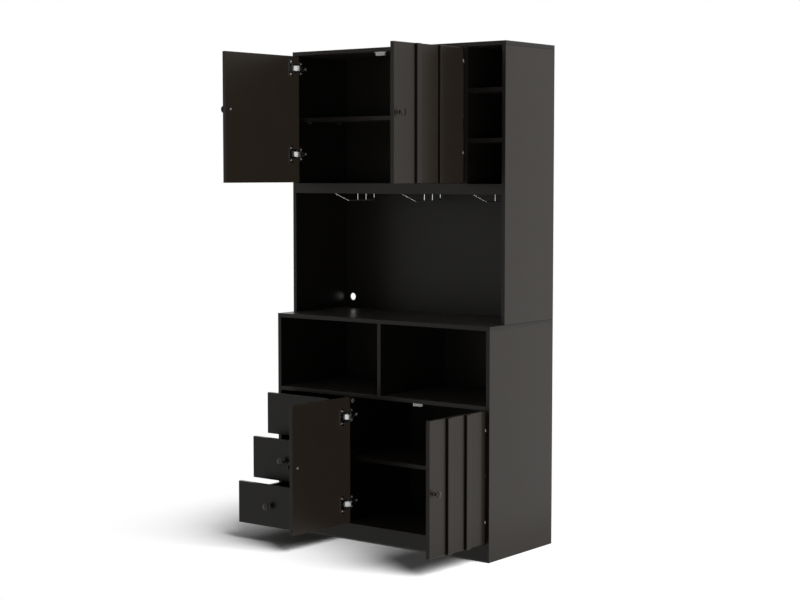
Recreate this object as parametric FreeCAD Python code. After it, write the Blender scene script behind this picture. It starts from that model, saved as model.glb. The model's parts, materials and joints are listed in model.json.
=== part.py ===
import FreeCAD, Part
import math
import os

# A buffet cabinet in millimetres: a base with drawers, doors and open cubbies carries a hutch with
# an open niche, doors and a column of small cubbies. +X is to the right seen from the front, the
# front faces -Y and +Z is up. The origin lies on the floor under the middle of the base.

V = FreeCAD.Vector

# Carcass
WIDTH = 970.0
DEPTH = 400.0
HEIGHT = 1800.0
BASE_HEIGHT = 820.0
HUTCH_DEPTH = 310.0
BOARD = 15.0
BACK = 5.0
BACK_INSET = 4.0
GROOVE = 6.0
PLAY = 0.2
EASE = 1.0
SEAM = 0.8

# Base
PLINTH_TOP = 62.0
PLINTH_CLEAR = 4.0
CUBBY_HEIGHT = 260.0
CUBBY_DIVIDER_X = 0.0
DRAWER_BAY = 304.0

# Hutch
NICHE_SHARE = 0.46
RAIL_HEIGHT = 38.0
COLUMN_WIDTH = 147.0
COLUMN_SHELF_SHARE = 0.365
CABLE_HOLE_R = 14.0
CABLE_HOLE_SIDE = 31.0
CABLE_HOLE_RISE = 42.0

# Loose shelves behind the doors
SHELF_SETBACK = 20.0
SHELF_PLAY = 1.0
PIN_R = 2.5
PIN_SUNK = 9.0
PIN_OUT = 9.0
PIN_FROM_END = 45.0

# Doors
DOOR = 15.0
DOOR_GAP = 2.0
DOOR_EASE = 1.5
BATTEN_WIDTH = 24.0
BATTEN_PROUD = 9.0
BATTEN_EASE = 2.0
SHADOW_GAP = 4.0
REBATE = 5.0
UPPER_LEFT_OPEN = 92.0
UPPER_RIGHT_OPEN = 89.0
LOWER_LEFT_OPEN = 92.0
LOWER_RIGHT_OPEN = 88.0

# Knobs
KNOB_EDGE = 25.0
UPPER_LEFT_KNOB_RISE = 29.0
UPPER_RIGHT_KNOB_RISE = 2.0
LOWER_LEFT_KNOB_RISE = 8.0
LOWER_RIGHT_KNOB_RISE = -15.0
KNOB_R = 13.0
KNOB_LENGTH = 24.0
KNOB_FOOT_R = 7.5
KNOB_NECK_R = 4.5
KNOB_FOOT = 2.0
KNOB_FLARE = 3.0
KNOB_HEAD = 9.0
KNOB_RIM = 2.5
KNOB_DOME = 3.0
SCREW_R = 2.0
SCREW_PLAY = 0.3
SCREW_HEAD_R = 4.5
SCREW_HEAD = 2.0

# Concealed hinges: the neck, links and tongue are arcs about the door's outer corner
CUP_R = 17.5
CUP_WALL = 1.5
CUP_DEPTH = 11.5
CUP_EDGE = 24.0
FLANGE = 1.2
FLANGE_RIM = 2.5
FLANGE_WIDE = 20.0
FLANGE_OFFSET = 21.0
FLANGE_TALL = 64.0
FLANGE_LIP = 2.0
NECK_R = 20.0
NECK = 5.0
NECK_HALF_TALL = 5.0
LEAF = 1.6
RUN_GAP = 0.4
PLATE = 2.0
PLATE_WING = 52.0
PLATE_STEM = 16.0
PLATE_LENGTH = 43.0
PLATE_WING_WIDTH = 16.0
UPPER_HINGE_DROP = 45.0
UPPER_HINGE_RISE = 106.0
LOWER_HINGE_DROP = 70.0
LOWER_HINGE_RISE = 72.0

# Magnetic catches
CATCH_WIDTH = 31.0
CATCH_DEEP = 18.0
CATCH_TALL = 12.5
CATCH_LIP = 3.0
CATCH_EAR = 6.0
CATCH_EAR_SHEET = 2.5
CATCH_POLE_WIDE = 11.0
CATCH_POLE_TALL = 6.0
CATCH_POLE_DEEP = 1.5
CATCH_PLAY = 0.6

# Drawers
DRAWER_GAP = 2.0
DRAWER_1_PULL = 80.0
DRAWER_2_PULL = 160.0
DRAWER_3_PULL = 240.0
DRAWER_TRAVEL = 245.0
FRONT = 15.0
BOX_WALL = 12.0
BOX_RISE = 14.0
BOX_DROP = 34.0
BOX_LENGTH = 340.0
BOX_BOTTOM = 4.0
BOX_BOTTOM_RISE = 10.0
BOX_GROOVE = 5.0
RUNNER_SPACE = 13.0
RUNNER_TALL = 35.0
RUNNER_SHEET = 1.2
RUNNER_LENGTH = 330.0
RUNNER_DEEP = 9.5
RUNNER_GAP = 0.3
RUNNER_FRONT = 2.0

# Glass hangers of bent wire under the hutch floor
WIRE_R = 2.2
LEG_R = 1.9
HANGER_PITCH = 318.0
HANGER_DROP = 50.0
HANGER_SETBACK = 8.0
HANGER_SLOPE = 106.0
HANGER_RUN = 155.0
HANGER_LEG_PITCH = 50.0
HANGER_BEND = 10.0
HANGER_NECK = 14.0
HANGER_LEGS = 3

# Cover caps of the cam fasteners in the base divider
CAP_R = 7.5
CAP = 1.2
CAP_DROP = 19.0
CAP_FROM_FRONT = 36.0
CAP_FROM_BACK = 60.0

HALF = WIDTH / 2
INNER = HALF - BOARD
BASE_FRONT = -DEPTH / 2
REAR = DEPTH / 2
HUTCH_FRONT = REAR - HUTCH_DEPTH
BACK_REAR = REAR - BACK_INSET
BACK_FACE = BACK_REAR - BACK
BASE_TOP_LOW = BASE_HEIGHT - BOARD
CUBBY_FLOOR = BASE_TOP_LOW - CUBBY_HEIGHT
LOWER_TOP = CUBBY_FLOOR - BOARD
DIVIDER_LEFT = DRAWER_BAY - INNER
DIVIDER_RIGHT = DIVIDER_LEFT + BOARD
RAIL_LOW = BASE_HEIGHT + NICHE_SHARE * (HEIGHT - BASE_HEIGHT)
HUTCH_FLOOR = RAIL_LOW + RAIL_HEIGHT
HUTCH_FLOOR_LOW = HUTCH_FLOOR - BOARD
HUTCH_TOP_LOW = HEIGHT - BOARD
PARTITION_RIGHT = INNER - COLUMN_WIDTH
PARTITION_LEFT = PARTITION_RIGHT - BOARD


def box(x0, x1, y0, y1, z0, z1):
    """Box between two corners, given in any order along each axis."""
    low = V(min(x0, x1), min(y0, y1), min(z0, z1))
    return Part.makeBox(abs(x1 - x0), abs(y1 - y0), abs(z1 - z0), low)


def ease_at(shape, y, radius):
    """Rounds every edge of a shape that lies in the plane at one y."""
    edges = [edge for edge in shape.Edges if all(abs(v.Y - y) < 1e-6 for v in edge.Vertexes)]
    return shape.makeFillet(radius, edges)


def board(x0, x1, y0, y1, z0, z1):
    """Board whose front edges are rounded by its edging strip."""
    return ease_at(box(x0, x1, y0, y1, z0, z1), min(y0, y1), EASE)


def seamed(panel, z):
    """Panel whose outer edges at one height are bevelled, so that it meets its neighbour in a fine V."""
    grooves = []
    for side in (-1, 1):
        tip = V(side * (HALF - SEAM), BASE_FRONT - PLAY, z)
        mouth = [tip + V(side * 2 * SEAM, 0, rise) for rise in (-2 * SEAM, 2 * SEAM)]
        profile = Part.Face(Part.makePolygon([tip, *mouth, tip]))
        grooves.append(profile.extrude(V(0, REAR - BASE_FRONT + 2 * PLAY, 0)))
    return panel.cut(grooves)


def cylinder(radius, start, end):
    """Cylinder from one point to another."""
    along = end - start
    return Part.makeCylinder(radius, along.Length, start, along)


# Base carcass

def back_groove(side, z0, z1):
    """Groove in a side's inner face for the edge of a back panel."""
    return box(side * INNER, side * (INNER + GROOVE), BACK_FACE - PLAY, BACK_REAR + PLAY, z0, z1)


def pin_holes(x, side, low, front):
    """Cuts for the pair of shelf pins that enter the face at x towards side, under a shelf."""
    z = low - PIN_R
    holes = []
    for y in pin_places(front):
        holes.append(cylinder(PIN_R + PLAY / 2, V(x - side * PLAY, y, z), V(x + side * PIN_SUNK, y, z)))
    return holes


def pin_places(front):
    """Depths of the front and the rear shelf pin."""
    return (front + PIN_FROM_END, BACK_FACE - PIN_FROM_END)


def base_side(side):
    """Side board of the base, standing on the floor."""
    panel = board(side * INNER, side * HALF, BASE_FRONT, REAR, 0, BASE_TOP_LOW)
    cuts = [back_groove(side, PLINTH_TOP - BOARD, BASE_TOP_LOW)]
    if side > 0:
        cuts += pin_holes(side * INNER, side, BASE_SHELF_LOW, BASE_SHELF_FRONT)
    return panel.cut(cuts)


BASE_SHELF_LOW = (PLINTH_TOP + LOWER_TOP) / 2 - BOARD / 2
BASE_SHELF_FRONT = BASE_FRONT + DOOR + SHELF_SETBACK
HUTCH_SHELF_LOW = (HUTCH_FLOOR + HUTCH_TOP_LOW) / 2 - BOARD / 2
HUTCH_SHELF_FRONT = HUTCH_FRONT + DOOR + SHELF_SETBACK


def base_divider():
    """Upright between the drawers and the door compartment, drilled for the loose shelf."""
    panel = board(DIVIDER_LEFT, DIVIDER_RIGHT, BASE_FRONT, BACK_FACE, PLINTH_TOP, LOWER_TOP)
    return panel.cut(pin_holes(DIVIDER_RIGHT, -1, BASE_SHELF_LOW, BASE_SHELF_FRONT))


def cubby_divider():
    """Upright between the two open cubbies."""
    left = CUBBY_DIVIDER_X - BOARD / 2
    return board(left, left + BOARD, BASE_FRONT, BACK_FACE, CUBBY_FLOOR, BASE_TOP_LOW)


def loose_shelf(left, right, front, low):
    """Shelf that lies on its pins between two uprights."""
    return board(left + SHELF_PLAY, right - SHELF_PLAY, front, BACK_FACE - SHELF_PLAY, low, low + BOARD)


def plinth_rails():
    """Front plinth and the rail under the rear of the bottom board, both clear of the floor."""
    front = board(-INNER, INNER, BASE_FRONT, BASE_FRONT + BOARD, PLINTH_CLEAR, PLINTH_TOP)
    rear = box(-INNER, INNER, BACK_FACE - BOARD, BACK_FACE, PLINTH_CLEAR, PLINTH_TOP - BOARD)
    return Part.makeCompound([front, rear])


def back_panel(z0, z1):
    """Thin back that slides into the grooves of both sides."""
    reach = INNER + GROOVE - PLAY
    return box(-reach, reach, BACK_FACE, BACK_REAR, z0, z1)


def cam_caps():
    """Cover caps of the two cam fasteners that hold the divider to the cubby floor."""
    z = LOWER_TOP - CAP_DROP
    places = (BASE_FRONT + CAP_FROM_FRONT, BACK_FACE - CAP_FROM_BACK)
    out = DIVIDER_RIGHT + CAP
    return Part.makeCompound([cylinder(CAP_R, V(DIVIDER_RIGHT, y, z), V(out, y, z)) for y in places])


# Hutch carcass

def hutch_side(side):
    """Side board of the hutch, standing on the base top."""
    panel = board(side * INNER, side * HALF, HUTCH_FRONT, REAR, BASE_HEIGHT, HUTCH_TOP_LOW)
    cuts = [back_groove(side, BASE_HEIGHT, HUTCH_TOP_LOW)]
    if side < 0:
        cuts += pin_holes(side * INNER, side, HUTCH_SHELF_LOW, HUTCH_SHELF_FRONT)
    return seamed(seamed(panel.cut(cuts), BASE_HEIGHT), HUTCH_TOP_LOW)


def hutch_partition():
    """Upright between the door compartment and the column of cubbies."""
    panel = board(PARTITION_LEFT, PARTITION_RIGHT, HUTCH_FRONT, BACK_FACE, HUTCH_FLOOR, HUTCH_TOP_LOW)
    return panel.cut(pin_holes(PARTITION_LEFT, 1, HUTCH_SHELF_LOW, HUTCH_SHELF_FRONT))


def column_shelves():
    """Two fixed shelves above and below the middle of the column."""
    middle = (HUTCH_FLOOR + HUTCH_TOP_LOW) / 2
    reach = COLUMN_SHELF_SHARE * (HUTCH_TOP_LOW - HUTCH_FLOOR) / 2
    lows = [middle + step * reach - BOARD / 2 for step in (-1, 1)]
    shelves = [board(PARTITION_RIGHT, INNER, HUTCH_FRONT, BACK_FACE, z, z + BOARD) for z in lows]
    return Part.makeCompound(shelves)


def hutch_back():
    """Back of the hutch, with the cable hole low in the niche."""
    x = CABLE_HOLE_SIDE - INNER
    z = BASE_HEIGHT + CABLE_HOLE_RISE
    hole = cylinder(CABLE_HOLE_R, V(x, BACK_FACE - PLAY, z), V(x, BACK_REAR + PLAY, z))
    return back_panel(BASE_HEIGHT, HUTCH_TOP_LOW).cut(hole)


def shelf_pins():
    """Pins that carry the two loose shelves, a pair on each side."""
    seats = [(DIVIDER_RIGHT, 1, BASE_SHELF_LOW, BASE_SHELF_FRONT),
             (INNER, -1, BASE_SHELF_LOW, BASE_SHELF_FRONT),
             (-INNER, 1, HUTCH_SHELF_LOW, HUTCH_SHELF_FRONT),
             (PARTITION_LEFT, -1, HUTCH_SHELF_LOW, HUTCH_SHELF_FRONT)]
    pins = []
    for x, out, low, front in seats:
        z = low - PIN_R
        for y in pin_places(front):
            pins.append(cylinder(PIN_R, V(x - out * (PIN_SUNK - PLAY), y, z), V(x + out * PIN_OUT, y, z)))
    return Part.makeCompound(pins)


def bent_wire(corners, bend, radius):
    """Round wire along straight runs joined by arcs of one bend radius."""
    edges = []
    start = corners[0]
    for before, corner, after in zip(corners, corners[1:], corners[2:]):
        back = (before - corner).normalize()
        ahead = (after - corner).normalize()
        half = back.getAngle(ahead) / 2
        reach = bend / math.tan(half)
        first = corner + back * reach
        last = corner + ahead * reach
        middle = corner + (back + ahead).normalize() * (bend / math.sin(half) - bend)
        edges += [Part.LineSegment(start, first).toShape(), Part.Arc(first, middle, last).toShape()]
        start = last
    edges.append(Part.LineSegment(start, corners[-1]).toShape())
    path = Part.Wire(edges)
    ring = Part.Wire(Part.Circle(corners[0], corners[1] - corners[0], radius).toShape())
    return path.makePipeShell([ring], True, True)


def glass_hanger(x):
    """Bent wire with a sloped front, a level run and upright legs to the underside of the hutch floor."""
    top = HUTCH_FLOOR_LOW
    low = top - HANGER_DROP
    front = HUTCH_FRONT + BOARD + HANGER_SETBACK
    level = front + HANGER_SLOPE
    rear = level + HANGER_RUN
    slope = [V(x, front, top), V(x, front, top - HANGER_NECK), V(x, level, low)]
    wire = bent_wire(slope + [V(x, rear, low), V(x, rear, top)], HANGER_BEND, WIRE_R)
    legs = [rear - step * HANGER_LEG_PITCH for step in range(1, HANGER_LEGS)]
    return wire.multiFuse([cylinder(LEG_R, V(x, y, low), V(x, y, top)) for y in legs])


# Doors, each first laid out closed: u runs from the hinge edge to the free edge, v from the outer
# face inwards, and the axis of its swing is the outer corner at u = 0, v = 0

class Door:
    """Inset door with its place, its swing and the hand of its hinges."""

    def __init__(self, name, side, corner, low, width, tall, opening, hinge_drop, hinge_rise, knob_rise):
        """Keeps the place of the outer hinge corner; side is 1 where the free edge lies towards +X."""
        self.name = name
        self.side = side
        self.corner = corner
        self.low = low
        self.width = width
        self.tall = tall
        self.opening = opening
        self.hinge_heights = (low + tall - hinge_drop, low + hinge_rise)
        self.knob_height = low + tall / 2 + knob_rise

    def at(self, u, v, z):
        """Point of the closed door."""
        return V(self.corner.x + self.side * u, self.corner.y + v, z)

    def block(self, u0, u1, v0, v1, z0, z1):
        """Box in the closed door's own directions."""
        a = self.at(u0, v0, z0)
        b = self.at(u1, v1, z1)
        return box(a.x, b.x, a.y, b.y, z0, z1)

    def rod(self, radius, u, z, v0, v1):
        """Cylinder through the closed door's thickness, between two depths."""
        return cylinder(radius, self.at(u, v0, z), self.at(u, v1, z))

    def swung(self, shape, share=1.0):
        """The shape turned open about the hinge corner by a share of the door's rest angle."""
        turned_shape = shape.copy()
        turned_shape.rotate(self.corner, V(0, 0, 1), -self.side * share * self.opening)
        return turned_shape

    def batten_centres(self):
        """Distances of the two battens from the hinge edge: the door's thirds."""
        return (self.width / 3, 2 * self.width / 3)

    def panel(self):
        """Door board with a rebate for each batten, hinge cup holes and the knob's screw hole."""
        z0 = self.low
        z1 = self.low + self.tall
        slab = ease_at(self.block(0, self.width, 0, DOOR, z0, z1), self.corner.y, DOOR_EASE)
        half = BATTEN_WIDTH / 2 + SHADOW_GAP
        cuts = []
        for u in self.batten_centres():
            cuts.append(self.block(u - half, u + half, -PLAY, REBATE, z0 - PLAY, z1 + PLAY))
        for z in self.hinge_heights:
            cuts.append(self.rod(CUP_R + PLAY / 2, CUP_EDGE, z, DOOR - CUP_DEPTH - PLAY, DOOR + PLAY))
        knob = self.width - KNOB_EDGE
        cuts.append(self.rod(SCREW_R + SCREW_PLAY, knob, self.knob_height, -PLAY, DOOR + PLAY))
        return self.swung(slab.cut(cuts))

    def battens(self):
        """Two upright battens with rounded outer edges, standing in the rebates."""
        z0 = self.low
        z1 = self.low + self.tall
        half = BATTEN_WIDTH / 2
        face = self.corner.y - BATTEN_PROUD
        strips = []
        for u in self.batten_centres():
            strip = self.block(u - half, u + half, -BATTEN_PROUD, REBATE, z0, z1)
            strips.append(ease_at(strip, face, BATTEN_EASE))
        return self.swung(Part.makeCompound(strips))

    def knob(self):
        """Turned knob by the free edge."""
        foot = self.at(self.width - KNOB_EDGE, 0, self.knob_height)
        return self.swung(turned_knob(foot))

    def tongue(self, z):
        """Channel on the hinge cup, curved about the hinge corner."""
        span = (TONGUE_START, TONGUE_END)
        arc = self.channel(LINK_OUT + RUN_GAP, LINK_HALF + RUN_GAP, span, z)
        reach = CUP_EDGE + CUP_R
        floor = DOOR - CUP_DEPTH + CUP_WALL / 2
        return arc.common(self.block(0, reach, floor, reach, z - FLANGE_TALL, z + FLANGE_TALL))

    def channel(self, inner, half, span, z):
        """Curved channel: two cheeks from the neck's radius out, joined by a web outside them."""
        outer = inner + LEAF
        whole = self.sector(NECK_R + RUN_GAP, outer, z - half - LEAF, z + half + LEAF, span)
        hollow = self.sector(NECK_R, inner, z - half, z + half, (span[0] - 1, span[1] + 1))
        return whole.cut(hollow)

    def sector(self, r0, r1, z0, z1, span):
        """Part of a ring about the hinge corner, between two angles from the u direction."""
        angles = [math.radians(a) for a in (span[0], (span[0] + span[1]) / 2, span[1])]
        inside = [self.at(r0 * math.cos(a), r0 * math.sin(a), z0) for a in angles]
        outside = [self.at(r1 * math.cos(a), r1 * math.sin(a), z0) for a in angles]
        edges = [Part.Arc(*inside).toShape(), Part.LineSegment(inside[2], outside[2]).toShape(),
                 Part.Arc(*reversed(outside)).toShape(), Part.LineSegment(outside[0], inside[0]).toShape()]
        return Part.Face(Part.Wire(edges)).extrude(V(0, 0, z1 - z0))

    def hinge_cup(self, z):
        """Cup let into the inner face, its lipped flange and the curved tongue of the hinge."""
        floor = DOOR - CUP_DEPTH
        top = DOOR + FLANGE
        half = FLANGE_TALL / 2
        start = CUP_EDGE + FLANGE_OFFSET - FLANGE_WIDE / 2
        end = start + FLANGE_WIDE
        cup = self.rod(CUP_R, CUP_EDGE, z, floor, DOOR)
        rim = self.rod(CUP_R + FLANGE_RIM, CUP_EDGE, z, DOOR, top)
        plate = self.block(start, end, DOOR, top, z - half, z + half)
        lip = self.block(end - FLANGE_LIP, end, DOOR, top + FLANGE, z - half, z + half)
        hollow = self.rod(CUP_R - CUP_WALL, CUP_EDGE, z, floor + CUP_WALL, top + PLAY)
        return cup.fuse([rim, plate, lip]).cut(hollow).fuse(self.tongue(z)).removeSplitter()

    def irons(self):
        """Hinge cups and the knob's screw."""
        pieces = [self.hinge_cup(z) for z in self.hinge_heights]
        u = self.width - KNOB_EDGE
        shank = self.rod(SCREW_R, u, self.knob_height, 0, DOOR)
        pieces.append(shank.fuse(self.rod(SCREW_HEAD_R, u, self.knob_height, DOOR, DOOR + SCREW_HEAD)))
        return self.swung(Part.makeCompound(pieces))

    def links(self):
        """Curved link of each hinge, which turns half as far as the door."""
        span = (LINK_START, LINK_END)
        half = NECK_HALF_TALL + RUN_GAP
        arcs = [self.channel(NECK_OUT + RUN_GAP, half, span, z) for z in self.hinge_heights]
        return self.swung(Part.makeCompound(arcs), 0.5)

    def arms(self):
        """Mounting plates on the carcass with the curved neck of each hinge."""
        pieces = []
        wall = -DOOR_GAP
        face = wall + PLATE
        end = NECK_R + PLATE_LENGTH
        wing_end = NECK_R + PLATE_WING_WIDTH
        span = (NECK_START, NECK_END)
        for z in self.hinge_heights:
            neck = self.sector(NECK_R, NECK_OUT, z - NECK_HALF_TALL, z + NECK_HALF_TALL, span)
            stem = self.block(wall, face, NECK_R, end, z - PLATE_STEM / 2, z + PLATE_STEM / 2)
            wing = self.block(wall, face, NECK_R, wing_end, z - PLATE_WING / 2, z + PLATE_WING / 2)
            room = self.block(wall, NECK_OUT + PLATE, 0, end, z - PLATE_WING, z + PLATE_WING)
            pieces.append(neck.common(room).fuse([stem, wing]).removeSplitter())
        return pieces


NECK_OUT = NECK_R + NECK
LINK_OUT = NECK_OUT + RUN_GAP + LEAF
LINK_HALF = NECK_HALF_TALL + RUN_GAP + LEAF
NECK_START = math.degrees(math.asin((DOOR - CUP_DEPTH + CUP_WALL + 1) / NECK_R))
NECK_END = 100.0
LINK_START = NECK_START + 3
LINK_END = 86.0
TONGUE_START = 4.0
TONGUE_END = 88.0


def turned_knob(foot):
    """Knob with a disc foot, a slim neck that flares into the head, and a domed face towards -Y."""
    rim = KNOB_LENGTH - KNOB_DOME
    under = rim - KNOB_RIM
    flare = KNOB_LENGTH - KNOB_HEAD
    neck = KNOB_FOOT + KNOB_FLARE
    outline = [(0, 0), (KNOB_FOOT_R, 0), (KNOB_FOOT_R, KNOB_FOOT), (KNOB_NECK_R, neck), (KNOB_NECK_R, flare),
               (KNOB_R, under), (KNOB_R, rim)]
    points = [V(r, 0, z) for r, z in outline]
    tip = V(0, 0, KNOB_LENGTH)
    dome_r = (KNOB_R ** 2 + KNOB_DOME ** 2) / (2 * KNOB_DOME)
    half = math.asin(KNOB_R / dome_r) / 2
    dome_middle = tip + V(dome_r * math.sin(half), 0, dome_r * math.cos(half) - dome_r)
    edges = [Part.LineSegment(a, b).toShape() for a, b in zip(points, points[1:])]
    edges.append(Part.Arc(points[-1], dome_middle, tip).toShape())
    edges.append(Part.LineSegment(tip, points[0]).toShape())
    knob = Part.Face(Part.Wire(edges)).revolve(V(0, 0, 0), V(0, 0, 1), 360)
    knob.Placement = FreeCAD.Placement(foot, FreeCAD.Rotation(V(0, 0, 1), V(0, -1, 0)))
    return knob


UPPER_OPENING = PARTITION_LEFT + INNER
UPPER_WIDTH = (UPPER_OPENING - 3 * DOOR_GAP) / 2
UPPER_TALL = HUTCH_TOP_LOW - HUTCH_FLOOR - 2 * DOOR_GAP
UPPER_LOW = HUTCH_FLOOR + DOOR_GAP
LOWER_OPENING = INNER - DIVIDER_RIGHT
LOWER_WIDTH = (LOWER_OPENING - 3 * DOOR_GAP) / 2
LOWER_TALL = LOWER_TOP - PLINTH_TOP - 2 * DOOR_GAP
LOWER_LOW = PLINTH_TOP + DOOR_GAP

DOORS = [
    Door("upper_left", 1, V(DOOR_GAP - INNER, HUTCH_FRONT, 0), UPPER_LOW, UPPER_WIDTH, UPPER_TALL,
         UPPER_LEFT_OPEN, UPPER_HINGE_DROP, UPPER_HINGE_RISE, UPPER_LEFT_KNOB_RISE),
    Door("upper_right", -1, V(PARTITION_LEFT - DOOR_GAP, HUTCH_FRONT, 0), UPPER_LOW, UPPER_WIDTH, UPPER_TALL,
         UPPER_RIGHT_OPEN, UPPER_HINGE_DROP, UPPER_HINGE_RISE, UPPER_RIGHT_KNOB_RISE),
    Door("lower_left", 1, V(DIVIDER_RIGHT + DOOR_GAP, BASE_FRONT, 0), LOWER_LOW, LOWER_WIDTH, LOWER_TALL,
         LOWER_LEFT_OPEN, LOWER_HINGE_DROP, LOWER_HINGE_RISE, LOWER_LEFT_KNOB_RISE),
    Door("lower_right", -1, V(INNER - DOOR_GAP, BASE_FRONT, 0), LOWER_LOW, LOWER_WIDTH, LOWER_TALL,
         LOWER_RIGHT_OPEN, LOWER_HINGE_DROP, LOWER_HINGE_RISE, LOWER_RIGHT_KNOB_RISE),
]


def catch(x, front, top):
    """Double magnetic catch: a housing with two ears and two pole openings facing the doors."""
    y0 = front + DOOR + CATCH_PLAY
    y1 = y0 + CATCH_DEEP
    half = CATCH_WIDTH / 2
    reach = half + CATCH_EAR
    housing = ease_at(box(x - half, x + half, y0, y1, top - CATCH_TALL, top), y1, CATCH_LIP)
    ears = box(x - reach, x + reach, y0, y1 - CATCH_LIP, top - CATCH_EAR_SHEET, top)
    body = housing.fuse(ears).removeSplitter()
    low = top - (CATCH_TALL + CATCH_POLE_TALL) / 2
    poles = []
    for left in (x - half / 2 - CATCH_POLE_WIDE / 2, x + half / 2 - CATCH_POLE_WIDE / 2):
        right = left + CATCH_POLE_WIDE
        poles.append(box(left, right, y0 - PLAY, y0 + CATCH_POLE_DEEP, low, low + CATCH_POLE_TALL))
    return body.cut(poles)


def catches():
    """One catch under the hutch top and one under the cubby floor, where each pair of doors meets."""
    upper = catch((PARTITION_LEFT - INNER) / 2, HUTCH_FRONT, HUTCH_TOP_LOW)
    lower = catch((DIVIDER_RIGHT + INNER) / 2, BASE_FRONT, LOWER_TOP)
    return Part.makeCompound([upper, lower])


# Drawers, counted from the top

DRAWER_PULLS = (DRAWER_1_PULL, DRAWER_2_PULL, DRAWER_3_PULL)
DRAWER_COUNT = len(DRAWER_PULLS)
DRAWER_TALL = (LOWER_TOP - PLINTH_TOP - (DRAWER_COUNT + 1) * DRAWER_GAP) / DRAWER_COUNT
BOX_TALL = DRAWER_TALL - BOX_RISE - BOX_DROP
BOX_LEFT = RUNNER_SPACE - INNER
BOX_RIGHT = DIVIDER_LEFT - RUNNER_SPACE


class Drawer:
    """Drawer with a flush front, drawn out at rest by its own pull."""

    def __init__(self, number, pull):
        """Works out the height of the front and the face it is drawn out to."""
        self.name = f"drawer_{number}"
        self.top = LOWER_TOP - DRAWER_GAP - (number - 1) * (DRAWER_TALL + DRAWER_GAP)
        self.low = self.top - DRAWER_TALL
        self.face = BASE_FRONT - pull
        self.back = self.face + FRONT
        self.box_low = self.low + BOX_RISE

    def front(self):
        """Front board with the screw hole of its knob."""
        x0 = DRAWER_GAP - INNER
        x1 = DIVIDER_LEFT - DRAWER_GAP
        slab = ease_at(box(x0, x1, self.face, self.back, self.low, self.top), self.face, DOOR_EASE)
        middle = V((x0 + x1) / 2, self.face - PLAY, (self.low + self.top) / 2)
        return slab.cut(cylinder(SCREW_R + SCREW_PLAY, middle, middle + V(0, FRONT + 2 * PLAY, 0)))

    def knob(self):
        """Turned knob in the middle of the front."""
        return turned_knob(V((DIVIDER_LEFT - INNER) / 2, self.face, (self.low + self.top) / 2))

    def bottom_panel(self, spread):
        """Room of the thin bottom, with some spread all round."""
        z = self.box_low + BOX_BOTTOM_RISE
        reach = BOX_WALL - BOX_GROOVE - spread
        return box(BOX_LEFT + reach, BOX_RIGHT - reach, self.back, self.back + BOX_LENGTH - reach,
                   z - spread, z + BOX_BOTTOM + spread)

    def walls(self):
        """Two sides and the back of the box, grooved for the bottom."""
        z0 = self.box_low
        z1 = z0 + BOX_TALL
        end = self.back + BOX_LENGTH
        blanks = [box(BOX_LEFT, BOX_LEFT + BOX_WALL, self.back, end, z0, z1),
                  box(BOX_RIGHT - BOX_WALL, BOX_RIGHT, self.back, end, z0, z1),
                  box(BOX_LEFT + BOX_WALL, BOX_RIGHT - BOX_WALL, end - BOX_WALL, end, z0, z1)]
        groove = self.bottom_panel(PLAY)
        return Part.makeCompound([blank.cut(groove) for blank in blanks])

    def bottom(self):
        """Thin bottom held in the grooves of the box."""
        return self.bottom_panel(0)

    def runner_height(self):
        """Height of the middle of both runners."""
        return self.box_low + BOX_TALL / 2

    def rails(self):
        """Inner rails on the box, which run in the outer rails."""
        pieces = []
        half = RUNNER_TALL / 2 - RUNNER_SHEET - RUNNER_GAP
        depth = RUNNER_SPACE - RUNNER_SHEET - RUNNER_GAP
        for x, out in ((BOX_LEFT, -1), (BOX_RIGHT, 1)):
            pieces.append(rail(x, out, depth, half, self.back + RUNNER_GAP, self.runner_height()))
        return Part.makeCompound(pieces)


def rail(x, out, depth, half, start, z):
    """Channel of sheet steel whose web lies on the face at x and whose flanges stand out."""
    end = start + RUNNER_LENGTH
    whole = box(x, x + out * depth, start, end, z - half, z + half)
    inside = half - RUNNER_SHEET
    web = x + out * RUNNER_SHEET
    return whole.cut(box(web, x + out * (depth + PLAY), start - PLAY, end + PLAY, z - inside, z + inside))


DRAWERS = [Drawer(number, pull) for number, pull in enumerate(DRAWER_PULLS, 1)]


def runner_rails():
    """Outer rails of all drawers, on the left side and on the divider."""
    start = BASE_FRONT + FRONT + RUNNER_FRONT
    pieces = []
    for drawer in DRAWERS:
        for x, out in ((-INNER, 1), (DIVIDER_LEFT, -1)):
            pieces.append(rail(x, out, RUNNER_DEEP, RUNNER_TALL / 2, start, drawer.runner_height()))
    return Part.makeCompound(pieces)


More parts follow.
